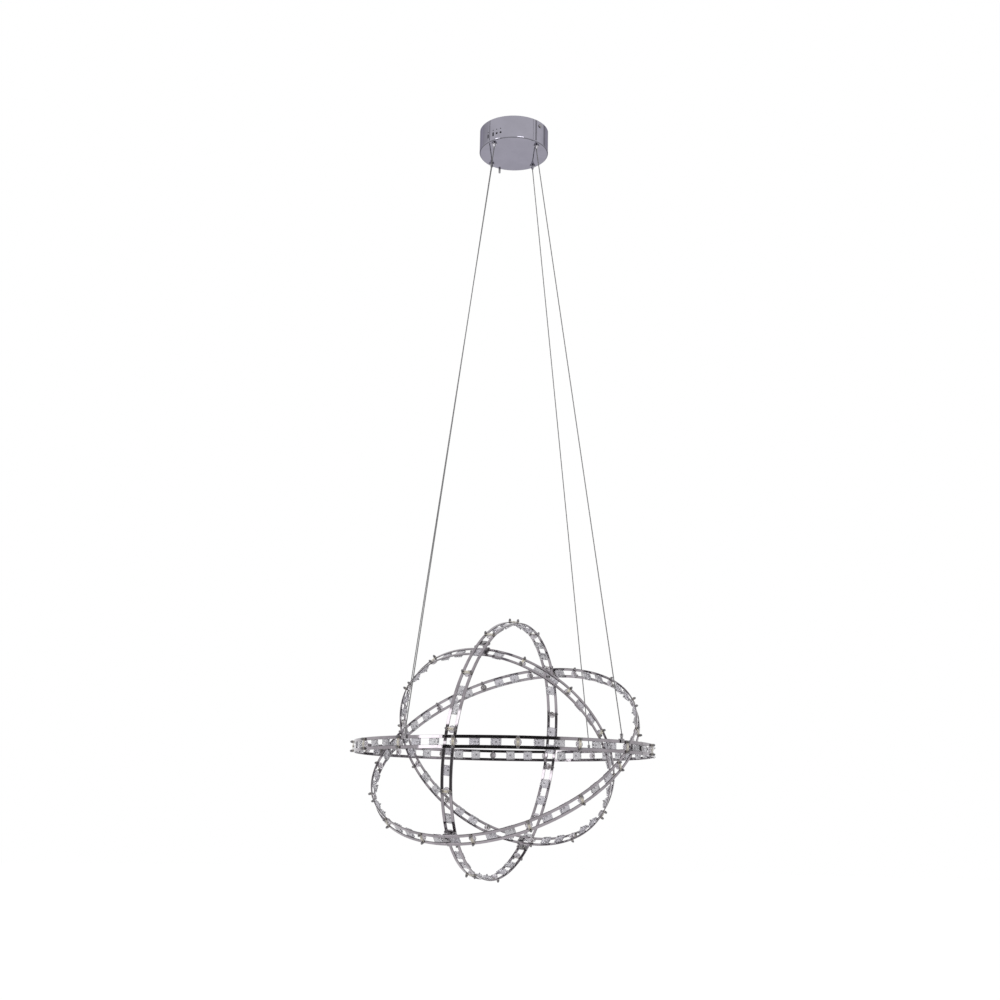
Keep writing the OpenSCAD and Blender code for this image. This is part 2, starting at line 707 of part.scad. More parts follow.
// The crossed bar that is bolted to the ceiling, with two ears for the side screws
module ceiling_bracket()
    color("#bdbdc0")
        rotate([0, 0, screw_azimuth])
            difference() {
                intersection() {
                    union() {
                        translate([-bracket_r - 1, -bar_w / 2, -bar_t])
                            cube([2 * bracket_r + 2, bar_w, bar_t]);
                        translate([0, 0, -bar_t])
                            linear_extrude(bar_t)
                                union() {
                                    square([bar_w, 2 * arm_l - bar_w], center = true);
                                    for (s = [-1, 1])
                                        translate([0, s * (arm_l - bar_w / 2)])
                                            circle(bar_w / 2);
                                }
                        for (s = [0, 180])
                            rotate([0, 0, s])
                                translate([ear_x, -ear_w / 2, -ear_h])
                                    cube([bar_t + 1, ear_w, ear_h]);
                    }
                    translate([0, 0, -ear_h - 1])
                        cylinder(h = ear_h + 2, r = bracket_r, $fn = 120);
                }
                for (s = [-1, 1])
                    translate([s * bolt_pcd / 2, 0, -bar_t - 1])
                        cylinder(h = bar_t + 2, r = bolt_hole_r);
                for (s = [0, 180])
                    rotate([0, 0, s])
                        translate([0, 0, -screw_z])
                            rod(screw_r + fixed_gap, ear_x - 1, bracket_r + 1);
                translate([0, earth_y, -bar_t - 1])
                    cylinder(h = bar_t + 2, r = earth_r + fixed_gap);
            }

// The two screws that hold the canopy to the bracket's ears, and the earth screw
module bracket_screws()
    color("#c6c5c9")
        rotate([0, 0, screw_azimuth]) {
            for (s = [0, 180])
                rotate([0, 0, s])
                    translate([0, 0, -screw_z])
                        rotate([0, 90, 0])
                            rotate_extrude($fn = 32)
                                polygon([[0, ear_x - 2], [screw_r, ear_x - 2],
                                    [screw_r, canopy_r + 0.1], [screw_r + 1.5, canopy_r + 0.1],
                                    [screw_r + 1.5, canopy_r + 1.2], [screw_r + 0.6, canopy_r + 2.2],
                                    [0, canopy_r + 2.4]]);
            translate([0, earth_y, 0])
                rotate_extrude($fn = 32)
                    polygon([[0, -bar_t - 4], [earth_r + 0.8, -bar_t - 4], [earth_r + 1.8, -bar_t - 3],
                        [earth_r + 1.8, -bar_t - 1.2], [earth_r + 2.6, -bar_t - 1.2], [earth_r + 2.6, -bar_t - seat],
                        [earth_r, -bar_t - seat], [earth_r, -0.2], [0, -0.2]]);
        }

// A block with rounded upright edges, l by w, from z0 to z1
module rounded_block(l, w, corner, z0, z1)
    translate([0, 0, z0])
        linear_extrude(z1 - z0)
            union() {
                square([l - 2 * corner, w], center = true);
                square([l, w - 2 * corner], center = true);
                for (s = [-1, 1], t = [-1, 1])
                    translate([s * (l / 2 - corner), t * (w / 2 - corner)])
                        circle(corner);
            }

// The LED driver under the bar: a case with a raised lid and a wire hole at each end
module driver_case()
    color("#e6e6e2")
        rotate([0, 0, screw_azimuth])
            difference() {
                union() {
                    rounded_block(driver_l, driver_w, driver_corner, -bar_t - driver_h, -bar_t - seat);
                    rounded_block(driver_l - 6, driver_w - 6, driver_corner, -bar_t - driver_h - 1.2, -bar_t - driver_h);
                }
                for (s = [0, 180], t = [-1, 1])
                    rotate([0, 0, s])
                        translate([0, t * driver_w / 5, -bar_t - driver_h / 2])
                            rod(driver_w / 10, driver_l / 2 - 6, driver_l / 2 + 1);
            }

// The three-pole terminal block beside the driver, with its wire holes and screw wells
module terminal_block() {
    pole = terminal_l / 3;
    groove = pole / 10;
    color("#f0efe8")
        rotate([0, 0, screw_azimuth])
            translate([0, terminal_y, -bar_t - seat])
                difference() {
                    rounded_block(terminal_l, terminal_w, groove, -terminal_h, 0);
                    for (s = [-1, 1])
                        translate([(s * pole - groove) / 2, -terminal_w, -terminal_h - 1])
                            cube([groove, 2 * terminal_w, terminal_h / 4 + 1]);
                    for (i = [-1 : 1]) {
                        translate([i * pole, terminal_w / 2 + 1, -terminal_h / 2])
                            rotate([90, 0, 0])
                                cylinder(h = terminal_w + 2, r = pole * 0.22);
                        for (t = [-1, 1])
                            translate([i * pole, t * terminal_w / 4, -terminal_h - 1])
                                cylinder(h = 1 + terminal_h / 2, r = pole * 0.28);
                    }
                }
}

canopy_cup();
ceiling_bracket();
bracket_screws();
driver_case();
terminal_block();
vent_gauze();
remote_receiver();
cable_glands();
gland_nuts();
cable(0);  // cable_front_right
cable(1);  // cable_back_right
cable(2);  // cable_back_left
cable(3);  // cable_front_left
rail(0, 1, lug_angles());  // outer_rail_top
rail(0, -1);  // outer_rail_bottom
crystals(0);  // outer_crystals
crystal_pins(0);  // outer_crystal_pins
led_lenses(0);  // outer_led_lenses
led_boards(0);  // outer_led_boards
led_studs(0);  // outer_led_studs
pivot_plates(0);  // outer_pivot_plates
rivets(0, true);  // outer_rivets
bushes(0);  // outer_bushes
cable_lugs();
cable_grips();
rail(1, 1);  // second_rail_top
rail(1, -1);  // second_rail_bottom
crystals(1);  // second_crystals
crystal_pins(1);  // second_crystal_pins
led_lenses(1);  // second_led_lenses
led_boards(1);  // second_led_boards
led_studs(1);  // second_led_studs
pivot_plates(1);  // second_pivot_plates
rivets(1);  // second_rivets
bushes(1);  // second_bushes
pivot_pins(1);  // second_pivot_pins
pivot_nuts(1);  // second_pivot_nuts
rail(2, 1);  // third_rail_left
rail(2, -1);  // third_rail_right
crystals(2);  // third_crystals
crystal_pins(2);  // third_crystal_pins
led_lenses(2);  // third_led_lenses
led_boards(2);  // third_led_boards
led_studs(2);  // third_led_studs
pivot_plates(2);  // third_pivot_plates
rivets(2);  // third_rivets
bushes(2);  // third_bushes
pivot_pins(2);  // third_pivot_pins
pivot_nuts(2);  // third_pivot_nuts
rail(3, 1);  // inner_rail_top
rail(3, -1);  // inner_rail_bottom
crystals(3);  // inner_crystals
crystal_pins(3);  // inner_crystal_pins
led_lenses(3);  // inner_led_lenses
led_boards(3);  // inner_led_boards
led_studs(3);  // inner_led_studs
pivot_plates(3);  // inner_pivot_plates
rivets(3);  // inner_rivets
pivot_pins(3);  // inner_pivot_pins
pivot_nuts(3);  // inner_pivot_nuts
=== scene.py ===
"""Dresses the pendant light's CAD nodes, and rebuilds its crystals, LEDs and cables in detail."""

import logging
import math
from collections.abc import Callable, Iterable, Sequence
from dataclasses import dataclass, field
from enum import Enum, IntEnum

import bmesh
import bpy
from mathutils import Matrix, Vector


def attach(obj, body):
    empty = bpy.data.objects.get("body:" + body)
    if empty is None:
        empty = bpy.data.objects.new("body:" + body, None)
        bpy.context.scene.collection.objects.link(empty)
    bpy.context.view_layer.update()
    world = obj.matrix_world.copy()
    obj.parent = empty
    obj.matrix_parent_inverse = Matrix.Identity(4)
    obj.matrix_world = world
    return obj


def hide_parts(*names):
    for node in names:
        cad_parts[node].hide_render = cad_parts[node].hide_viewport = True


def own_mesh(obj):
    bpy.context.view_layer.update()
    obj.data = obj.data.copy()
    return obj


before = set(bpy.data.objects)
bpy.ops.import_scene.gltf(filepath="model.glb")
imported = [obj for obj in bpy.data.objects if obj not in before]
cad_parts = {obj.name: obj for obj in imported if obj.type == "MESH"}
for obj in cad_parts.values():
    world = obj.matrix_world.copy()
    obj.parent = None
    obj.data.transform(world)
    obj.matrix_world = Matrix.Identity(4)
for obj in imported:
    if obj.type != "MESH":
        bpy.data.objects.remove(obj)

log = logging.getLogger("pendant_light")

# Lengths in metres: a millimetre, the width of the sharpest lines and the height of the hoops' middle.
MM = 0.001
HAIR = 0.0001
HOOP_Z = -1.138

WHITE = (1.0, 1.0, 1.0)

# The number of points of a cut square, and of rays that look for a crease.
CORNERS = 8
CREASE_SAMPLES = 4

# Up to these angles, in degrees, the edges of cut glass, turned parts and cables are shaded smooth.
CUT_GLASS = 5.0
TURNED = 35.0
STRANDED = 75.0

# A Mix node repeats its socket names for every kind of data, so its colours go by number.
MIX_COLORS = (6, 7)
MIX_RESULT = 2

Rgb = Xyz = tuple[float, float, float]
Span = tuple[float, float]
Ring = list[Vector]
Material = bpy.types.Material
Node = bpy.types.Node
Socket = bpy.types.NodeSocket


class Body(Enum):
    """The CAD bodies that pieces ride on."""

    CANOPY = "canopy"
    OUTER = "outer_hoop"
    SECOND = "second_hoop"
    THIRD = "third_hoop"
    INNER = "inner_hoop"


class Slot(Enum):
    """Material slots named for the rebuilt pieces."""

    CABLE_STEEL = "cable_steel"
    CRYSTAL = "crystal"
    LENS = "lens"
    LED_BOARD = "led_board"


class Coat(IntEnum):
    """The materials of an LED board, in the order of its mesh's slots."""

    BOARD = 0
    CERAMIC = 1
    PHOSPHOR = 2
    BRONZE = 3


class Light(Enum):
    """The lamps of the studio, by what each one does."""

    KEY = "key_lamp"
    FILL = "fill_lamp"
    TOP = "top_lamp"


# ---------------- finishes


def shade(color: Rgb, share: float) -> Rgb:
    """The same colour, this many times as bright and at most white."""
    return tuple(min(1.0, c * share) for c in color)


def feed(socket: Socket, value: Socket | Vector | Rgb | float) -> None:
    """Links a socket to another one, or sets its value.

    Args:
        socket: The socket to feed.
        value: The other socket, or a number, vector or colour.
    """
    if isinstance(value, Socket):
        socket.id_data.links.new(value, socket)
    else:
        socket.default_value = (*value, 1.0) if isinstance(value, tuple) else value


def new_node(tree: bpy.types.NodeTree, kind: str, *values: Socket | Vector | float, **settings: str | int) -> Node:
    """Adds a shader node, sets it and feeds its first sockets.

    Args:
        tree: The tree that gets it.
        kind: Its type, as Blender names it after "ShaderNode".
        values: What its first sockets get.
        settings: Its settings, as Blender names them.

    Returns:
        The node.
    """
    node = tree.nodes.new(f"ShaderNode{kind}")
    for name, setting in settings.items():
        setattr(node, name, setting)
    for socket, value in zip(node.inputs, values):
        feed(socket, value)
    return node


class Graph:
    """The shader nodes of one material, built in the piece's own coordinates."""

    def __init__(self, name: str, frame_of: Matrix | None = None) -> None:
        """Starts a material with one Principled shader.

        Args:
            name: The material's name.
            frame_of: The placement of the part that the pattern follows, or None for the row frame.
        """
        self.material = bpy.data.materials.new(name)
        self.material.use_nodes = True
        self.tree = self.material.node_tree
        self.shader = self.tree.nodes["Principled BSDF"]
        self.place = new_node(self.tree, "TexCoord").outputs["Object"]
        if frame_of is not None:
            inverse = frame_of.inverted()
            mapping = new_node(self.tree, "Mapping", self.place, inverse.to_translation(), inverse.to_euler())
            self.place = mapping.outputs["Vector"]

    def noise(self, scale: float, detail: float = 3.0, rough: float = 0.55, at: Socket | None = None) -> Socket:
        """Adds a noise.

        Args:
            scale: Features per metre.
            detail: How many octaves it has.
            rough: How strong the finer octaves are.
            at: Coordinates other than the part's own.

        Returns:
            The noise, about 0.5 on average.
        """
        node = new_node(self.tree, "TexNoise", at or self.place)
        feed(node.inputs["Scale"], scale)
        feed(node.inputs["Detail"], detail)
        feed(node.inputs["Roughness"], rough)
        return node.outputs["Fac"]

    def math(self, kind: str, a: Socket, b: Socket | float = 0.0) -> Socket:
        """The result of an operation that Blender names, on one or two values."""
        return new_node(self.tree, "Math", a, b, operation=kind).outputs[0]

    def times(self, a: Socket, b: Socket | float) -> Socket:
        """Multiplies a value by another one or by a number."""
        return self.math("MULTIPLY", a, b)

    def span(self, value: Socket, low: float, high: float, to_low: float = 0.0, to_high: float = 1.0) -> Socket:
        """Maps a value smoothly from the range low to high onto to_low to to_high, clamped."""
        limits = (low, high, to_low, to_high)
        return new_node(self.tree, "MapRange", value, *limits, interpolation_type="SMOOTHSTEP").outputs[0]

    def blend(self, share: Socket, a: Rgb | Socket, b: Rgb | Socket) -> Socket:
        """Mixes two colours.

        Args:
            share: The share of the second one.
            a: The first colour.
            b: The second colour.

        Returns:
            The mixed colour.
        """
        node = new_node(self.tree, "Mix", share, data_type="RGBA")
        for index, value in zip(MIX_COLORS, (a, b)):
            feed(node.inputs[index], value)
        return node.outputs[MIX_RESULT]

    def parts(self) -> tuple[Socket, Socket, Socket]:
        """The three coordinates of the part's own frame."""
        return tuple(new_node(self.tree, "SeparateXYZ", self.place).outputs)

    def vector(self, x: Socket, y: Socket, z: Socket) -> Socket:
        """Joins three values to a vector."""
        return new_node(self.tree, "CombineXYZ", x, y, z).outputs[0]

    def shade_creases(self, color: Socket, shade_tone: Rgb, reach: float, openness: Span, most: float) -> Socket:
        """Paints shade into the creases that ambient occlusion finds.

        Args:
            color: The colour without the painted shade.
            shade_tone: The colour of the painted shade in a crease.
            reach: How far the shade of its walls reaches, in metres.
            openness: How open the surface is where the painted shade is densest and where it ends.
            most: The share of painted shade where it is densest.

        Returns:
            The colour with its painted crease shade.
        """
        # Ambient occlusion finds the creases that get painted shade.
        node = new_node(self.tree, "AmbientOcclusion", samples=CREASE_SAMPLES)
        feed(node.inputs["Distance"], reach)
        return self.blend(self.span(node.outputs["AO"], *openness, most, 0.0), color, shade_tone)

    def finish(
        self, color: Socket, rough: Socket, height: Socket, depth: float, strength: float, **values: float | Rgb
    ) -> Material:
        """Links the patterns to the shader and sets its other sockets.

        Args:
            color: The colour.
            rough: The roughness.
            height: How far the surface is raised, from 0 to 1.
            depth: What a height of 1 is, in metres.
            strength: The share of the relief that shows.
            values: Other sockets' values, by name in lower case with underscores.

        Returns:
            The material.
        """
        bump = new_node(self.tree, "Bump", strength, depth)
        feed(bump.inputs["Height"], height)
        values |= {"base_color": color, "roughness": rough, "normal": bump.outputs["Normal"]}
        for key, value in values.items():
            feed(self.shader.inputs[key.replace("_", " ").title().replace("Ior", "IOR")], value)
        return self.material


@dataclass(frozen=True)
class Chrome:
    """Polished chrome plate with faint polishing lines, haze and a painted dark reflection line where it turns over an
    edge.

    Lengths are in metres, and scales are features per metre. A bowl's edge turns outside the radius and under the
    height that `turned` gives. Between the radii of `cut` and the heights of `cut_wall`, the cut faces of holes in its
    wall get painted shade, nearly black.
    """

    tone: Rgb = (0.306, 0.281, 0.304)
    haze: Span = (0.04, 0.13)
    haze_scale: float = 150.0
    cloud: Span = (0.84, 1.13)
    cloud_scale: float = 38.0
    line_scale: float = 2600.0
    line_turns: float = 5.0
    wave_scale: float = 210.0
    wave_depth: float = 0.00002
    crease: float = 0.34
    crease_reach: float = 0.0035
    grazing: Rgb = WHITE
    # The painted dark reflection line along edges: its share of the tone and its width.
    edge: float = 0.45
    edge_width: float = 0.0006
    turned: Span | None = None
    cut: Span | None = None
    cut_wall: Span = (-0.039, -0.017)
    # The colour of the painted shade on the holes' cut faces.
    hole_shade_tone: Rgb = (0.012, 0.012, 0.014)

    def material(self, name: str, frame_of: Matrix | None = None, rails: Span | None = None) -> Material:
        """Makes the chrome of one part.

        Args:
            name: The material's name.
            frame_of: The placement of the part, whose Z the polishing lines run round.
            rails: How far the middle of each rail strip lies from the hoop's middle plane, and its half width.

        Returns:
            The material.
        """
        g = Graph(name, frame_of)
        x, y, z = g.parts()
        angle = g.math("ARCTAN2", y, x)
        radius = g.math("SQRT", g.math("ADD", g.times(x, x), g.times(y, y)))
        drawn = g.vector(
            g.times(radius, self.line_scale), g.times(angle, self.line_turns), g.times(z, self.line_scale)
        )
        lines = g.noise(1.0, 2.0, 0.6, drawn)
        cloud = g.noise(self.cloud_scale, 4.0, 0.62)
        dark, light = (shade(self.tone, share) for share in self.cloud)
        # The colour of the painted dark reflection lines.
        edge = shade(self.tone, self.edge)
        color = g.blend(g.span(cloud, 0.32, 0.7), dark, light)
        color = g.blend(g.span(lines, 0.3, 0.75, 0.0, 0.35), color, dark)
        # Painted dark reflection lines along the rail strips' edges.
        if rails:
            middle, half = rails
            away = g.math("ABSOLUTE", g.math("SUBTRACT", g.math("ABSOLUTE", z), middle))
            rim = g.span(away, half - self.edge_width, half - HAIR, 0.0, 0.85)
            color = g.blend(rim, color, edge)
        # A painted dark reflection line where the bowl's edge turns under.
        if self.turned:
            rim_radius, rim_height = self.turned
            under = g.span(z, rim_height, rim_height + self.edge_width, 0.8, 0.0)
            outside = g.span(radius, rim_radius - self.edge_width, rim_radius)
            color = g.blend(g.times(under, outside), color, edge)
        # Painted shade, nearly black, on the cut faces of the holes.
        if self.cut:
            within = self.between(g, radius, self.cut, HAIR)
            wall = self.between(g, z, self.cut_wall, MM)
            color = g.blend(g.times(within, wall), color, self.hole_shade_tone)
        # Painted shade in the creases.
        color = g.shade_creases(color, shade(self.tone, self.crease), self.crease_reach, (0.35, 0.95), 0.75)
        haze = g.span(g.noise(self.haze_scale), 0.3, 0.75, *self.haze)
        waves = g.math("ADD", g.times(lines, 0.4), g.noise(self.wave_scale, 2.0))
        return g.finish(color, haze, waves, self.wave_depth, 0.35, metallic=1.0, specular_tint=self.grazing)

    def between(self, g: Graph, value: Socket, ends: Span, soft: float) -> Socket:
        """1 where a value lies between two ends and 0 elsewhere, over soft borders this wide."""
        low, high = ends
        return g.times(g.span(value, low, low + soft), g.span(value, high - soft, high, 1.0, 0.0))


@dataclass(frozen=True)
class SatinSteel:
    """Turned or rolled steel with a fine grain, in features per metre along X, Y and Z."""

    tone: Rgb = (0.3, 0.29, 0.3)
    mottle: Span = (0.78, 1.18)
    grain: Xyz = (900.0, 900.0, 6000.0)
    grain_depth: float = 0.00002
    rough: Span = (0.22, 0.42)
    crease: float = 0.3
    crease_reach: float = 0.002

    def material(self, name: str) -> Material:
        """Makes the steel.

        Args:
            name: The material's name.

        Returns:
            The material.
        """
        g = Graph(name)
        drawn = g.vector(*(g.times(way, scale) for way, scale in zip(g.parts(), self.grain)))
        grain = g.noise(1.0, 3.0, 0.6, drawn)
        dark, light = (shade(self.tone, share) for share in self.mottle)
        color = g.blend(g.span(grain, 0.3, 0.72), dark, light)
        # Painted shade in the creases.
        color = g.shade_creases(color, shade(self.tone, self.crease), self.crease_reach, (0.3, 0.95), 0.8)
        return g.finish(color, g.span(grain, 0.25, 0.8, *self.rough), grain, self.grain_depth, 0.5, metallic=1.0)


@dataclass(frozen=True)
class Blackened:
    """Dark plated steel that is rubbed paler in fine specks."""

    tone: Rgb
    rubbed: Rgb
    crease: float = 0.4
    crease_reach: float = 0.0015
    speck_scale: float = 900.0
    speck_depth: float = 0.00003
    rough: Span = (0.45, 0.24)

    def material(self, name: str) -> Material:
        """Makes the dark plating.

        Args:
            name: The material's name.

        Returns:
            The material.
        """
        g = Graph(name)
        speck = g.noise(self.speck_scale, 4.0, 0.65)
        color = g.blend(g.span(speck, 0.42, 0.72), self.tone, self.rubbed)
        # Painted shade in the creases.
        color = g.shade_creases(color, shade(self.tone, self.crease), self.crease_reach, (0.2, 0.9), 0.7)
        return g.finish(color, g.span(speck, 0.3, 0.75, *self.rough), speck, self.speck_depth, 0.4, metallic=0.85)


@dataclass(frozen=True)
class Glass:
    """Pressed glass or clear plastic with a faint tint, tiny flow marks and dust."""

    tint: Rgb
    rough: Span
    milk: float
    ior: float = 1.52
    drift: Rgb = (0.97, 0.98, 0.95)
    drift_scale: float = 24.0
    flow: float = 0.00008
    flow_scale: float = 260.0
    dust_scale: float = 700.0

    def material(self, name: str) -> Material:
        """Makes the glass, whose hue drifts a little from piece to piece.

        Args:
            name: The material's name.

        Returns:
            The material.
        """
        g = Graph(name)
        flow = g.noise(self.flow_scale, 3.0, 0.6)
        drifted = tuple(c * d for c, d in zip(self.tint, self.drift))
        tint = g.blend(g.span(g.noise(self.drift_scale, 1.0), 0.42, 0.6), self.tint, drifted)
        color = g.blend(g.span(flow, 0.3, 0.72, 0.1, 0.0), tint, (0.0, 0.0, 0.0))
        dust = g.span(g.noise(self.dust_scale), 0.35, 0.75, *self.rough)
        return g.finish(color, dust, flow, self.flow, 0.35, transmission_weight=1.0 - self.milk, ior=self.ior)


@dataclass(frozen=True)
class Moulded:
    """Moulded plastic with a fine spark-eroded grain, slight yellowing in patches and painted shade in its creases."""

    tone: Rgb = (0.8, 0.79, 0.76)
    aged: Rgb = (0.62, 0.6, 0.55)
    cloud_scale: float = 60.0
    crease: float = 0.6
    crease_reach: float = 0.003
    grain_scale: float = 1400.0
    grain_depth: float = 0.00004
    rough: Span = (0.38, 0.55)
    gloss: float = 0.0

    def material(self, name: str) -> Material:
        """Makes the plastic.

        Args:
            name: The material's name.

        Returns:
            The material.
        """
        g = Graph(name)
        grain = g.noise(self.grain_scale, 3.0, 0.6)
        cloud = g.noise(self.cloud_scale)
        color = g.blend(g.span(cloud, 0.35, 0.75, 0.0, 0.55), self.tone, self.aged)
        # Painted shade in the creases, in a darker copy of the aged hue.
        color = g.shade_creases(color, shade(self.aged, self.crease), self.crease_reach, (0.3, 0.95), 0.7)
        rough = g.span(grain, 0.3, 0.75, *self.rough)
        return g.finish(color, rough, grain, self.grain_depth, 0.5, coat_weight=self.gloss, coat_roughness=0.08)


@dataclass(frozen=True)
class Gauze:
    """A black woven wire gauze, bent round the Z axis at a radius in metres; its near-black, almost unreflective colour
    is painted shade behind the vents.
    """

    # Nearly black: painted shade for the dark inside of the canopy.
    tone: Rgb = (0.006, 0.006, 0.007)
    wire: Rgb = (0.022, 0.022, 0.024)
    wire_depth: float = 0.00015
    pitch: float = 0.0009
    radius: float = 0.0625
    rough: Span = (0.5, 0.8)
    rough_scale: float = 600.0

    def material(self, name: str) -> Material:
        """Makes the weave from two sets of waves, one round the axis and one along it.

        Args:
            name: The material's name.

        Returns:
            The material.
        """
        g = Graph(name)
        x, y, z = g.parts()
        around = g.math("SINE", g.times(g.math("ARCTAN2", y, x), math.tau * self.radius / self.pitch))
        along = g.math("SINE", g.times(z, math.tau / self.pitch))
        weave = g.math("MAXIMUM", around, along)
        color = g.blend(g.span(weave, 0.2, 1.0), self.tone, self.wire)
        rough = g.span(g.noise(self.rough_scale), 0.3, 0.75, *self.rough)
        # Almost no reflection, so the painted shade stays dark.
        return g.finish(color, rough, weave, self.wire_depth, 0.6, specular_ior_level=0.05)


class Finishes:
    """The finishes of the whole lamp, made once and shared by its parts."""

    def __init__(self) -> None:
        """Makes the shared materials."""
        self.fitting = Chrome(tone=(0.29, 0.275, 0.29), haze=(0.08, 0.2), crease=0.6).material("fitting_chrome")
        self.gland = Chrome(
            tone=(0.42, 0.41, 0.44), haze=(0.14, 0.34), cloud=(0.5, 1.25), crease=0.9
        ).material("gland_chrome")
        # The canopy's chrome: a painted dark reflection line at its turned edge and painted shade on its holes' cut
        # faces.
        self.canopy = Chrome(
            tone=(0.34, 0.33, 0.385), haze=(0.03, 0.09), cloud=(0.96, 1.04), grazing=(0.4, 0.39, 0.44),
            edge=0.3, turned=(0.0627, -0.0428), cut=(0.06285, 0.06385),
        ).material("canopy_chrome")
        self.pivot = SatinSteel().material("pivot_steel")
        self.bracket = SatinSteel(tone=(0.5, 0.5, 0.51), grain=(4000.0, 500.0, 900.0)).material("bracket_steel")
        self.cable = SatinSteel(
            tone=(0.185, 0.183, 0.186), grain=(3000.0, 3000.0, 600.0), crease=0.6
        ).material("cable_steel")
        self.crystal = Glass(
            tint=(0.655, 0.638, 0.684), rough=(0.07, 0.2), milk=0.3, flow=0.00003
        ).material("crystal_glass")
        self.lens = Glass(tint=(0.59, 0.56, 0.6), rough=(0.08, 0.22), milk=0.16, ior=1.49).material("lens_glass")
        self.board = Moulded(
            tone=(0.56, 0.53, 0.465), aged=(0.45, 0.415, 0.37), rough=(0.22, 0.4), gloss=0.4
        ).material("board_cream")
        self.ceramic = Moulded(
            tone=(0.84, 0.83, 0.8), aged=(0.74, 0.72, 0.66), rough=(0.3, 0.45)
        ).material("led_ceramic")
        self.phosphor = Moulded(
            tone=(0.63, 0.57, 0.42), aged=(0.56, 0.48, 0.33), rough=(0.12, 0.25), gloss=0.8
        ).material("led_phosphor")
        self.pad = SatinSteel(tone=(0.42, 0.355, 0.31), rough=(0.18, 0.36)).material("pad_bronze")
        self.studs = Blackened(tone=(0.12, 0.115, 0.12), rubbed=(0.34, 0.33, 0.34)).material("dark_studs")
        self.pins = Blackened(tone=(0.2, 0.195, 0.21), rubbed=(0.36, 0.35, 0.38)).material("dark_pins")
        self.bush = Moulded().material("bush_plastic")
        self.driver = Moulded(tone=(0.78, 0.78, 0.76)).material("driver_plastic")
        self.terminal = Moulded(tone=(0.84, 0.83, 0.78)).material("terminal_plastic")
        self.receiver = Moulded(tone=(0.46, 0.455, 0.465), aged=(0.4, 0.395, 0.4)).material("receiver_plastic")
        # Nearly black, dull gauze as painted shade behind the vents.
        self.gauze = Gauze().material("black_gauze")


def paint(nodes: dict[str, Material]) -> None:
    """Gives carried-over CAD nodes their materials.

    Args:
        nodes: Each node's material, which goes into all its slots.
    """
    for node, material in nodes.items():
        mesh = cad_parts[node].data
        if not mesh.materials:
            mesh.materials.append(material)
        for index in range(len(mesh.materials)):
            mesh.materials[index] = material


# ---------------- shapes


def linked(name: str, data: bpy.types.ID) -> bpy.types.Object:
    """Adds an object to the scene.

    Args:
        name: Its name.
        data: Its mesh, lamp or camera.

    Returns:
        The object.
    """
    item = bpy.data.objects.new(name, data)
    bpy.context.scene.collection.objects.link(item)
    return item


@dataclass
class Shape:
    """Closed shells of one piece, before they become a mesh."""

    points: list[Vector] = field(default_factory=list)
    faces: list[tuple[int, ...]] = field(default_factory=list)
    coats: list[int] = field(default_factory=list)

    def add_ring(self, ring: Ring) -> list[int]:
        """Adds a ring's points and returns their numbers."""
        self.points.extend(ring)
        return list(range(len(self.points) - len(ring), len(self.points)))

    def band(self, a: list[int], b: list[int], coat: int = 0) -> None:
        """Joins two rings of the same count by four-sided faces."""
        self.faces += zip(a, a[1:] + a[:1], b[1:] + b[:1], b)
        self.coats += [coat] * len(a)

    def cut_band(self, a: list[int], b: list[int]) -> None:
        """Joins two rings of the same count by triangles, as cut glass has them.

        Args:
            a: The numbers of the first ring's points.
            b: The numbers of the second ring's points, each between two of the first ones.
        """
        for a1, a2, b1, b2 in zip(a, a[1:] + a[:1], b, b[1:] + b[:1]):
            self.faces += [(a1, a2, b1), (b1, a2, b2)]
            self.coats += [0, 0]

    def cap(self, ring: list[int], coat: int = 0) -> None:
        """Closes a ring with one face."""
        self.faces.append(tuple(ring))
        self.coats.append(coat)

    def loft(self, rings: Sequence[Ring], coat: int = 0) -> None:
        """Adds a closed shell through rings of the same count.

        Args:
            rings: The rings from one end to the other.
            coat: The number of the shell's material.
        """
        numbers = [self.add_ring(ring) for ring in rings]
        for a, b in zip(numbers, numbers[1:]):
            self.band(a, b, coat)
        self.cap(numbers[0], coat)
        self.cap(numbers[-1], coat)

    def placed(self, where: Iterable[Matrix]) -> "Shape":
        """Copies the shells to several places.

        Args:
            where: The placement of each copy.

        Returns:
            All the copies as one shape.
        """
        out = Shape()
        for matrix in where:
            start = len(out.points)
            out.points += [matrix @ p for p in self.points]
            out.faces += [tuple(start + i for i in f) for f in self.faces]
            out.coats += self.coats
        return out

    def piece(self, name: str, materials: Sequence[Material], smooth_under: float) -> bpy.types.Object:
        """Turns the shells into an object of the scene.

        Args:
            name: The piece's name.
            materials: Its materials, in the order of its coats.
            smooth_under: Up to this angle, in degrees, edges are shaded smooth.

        Returns:
            The object, at the origin of the row frame.
        """
        mesh = bpy.data.meshes.new(name)
        mesh.from_pydata([p * MM for p in self.points], [], self.faces)
        for material in materials:
            mesh.materials.append(material)
        mesh.polygons.foreach_set("material_index", self.coats)
        mesh.polygons.foreach_set("use_smooth", [True] * len(self.faces))
        shells = bmesh.new()
        shells.from_mesh(mesh)
        bmesh.ops.recalc_face_normals(shells, faces=shells.faces)
        shells.to_mesh(mesh)
        shells.free()
        mesh.set_sharp_from_angle(angle=math.radians(smooth_under))
        return linked(name, mesh)


def circle(x: float, r: float, count: int, z: float = 0.0) -> Ring:
    """A circle of this many points round a line along X, at height z."""
    turns = (math.tau * i / count for i in range(count))
    return [Vector((x, r * math.cos(t), z + r * math.sin(t))) for t in turns]


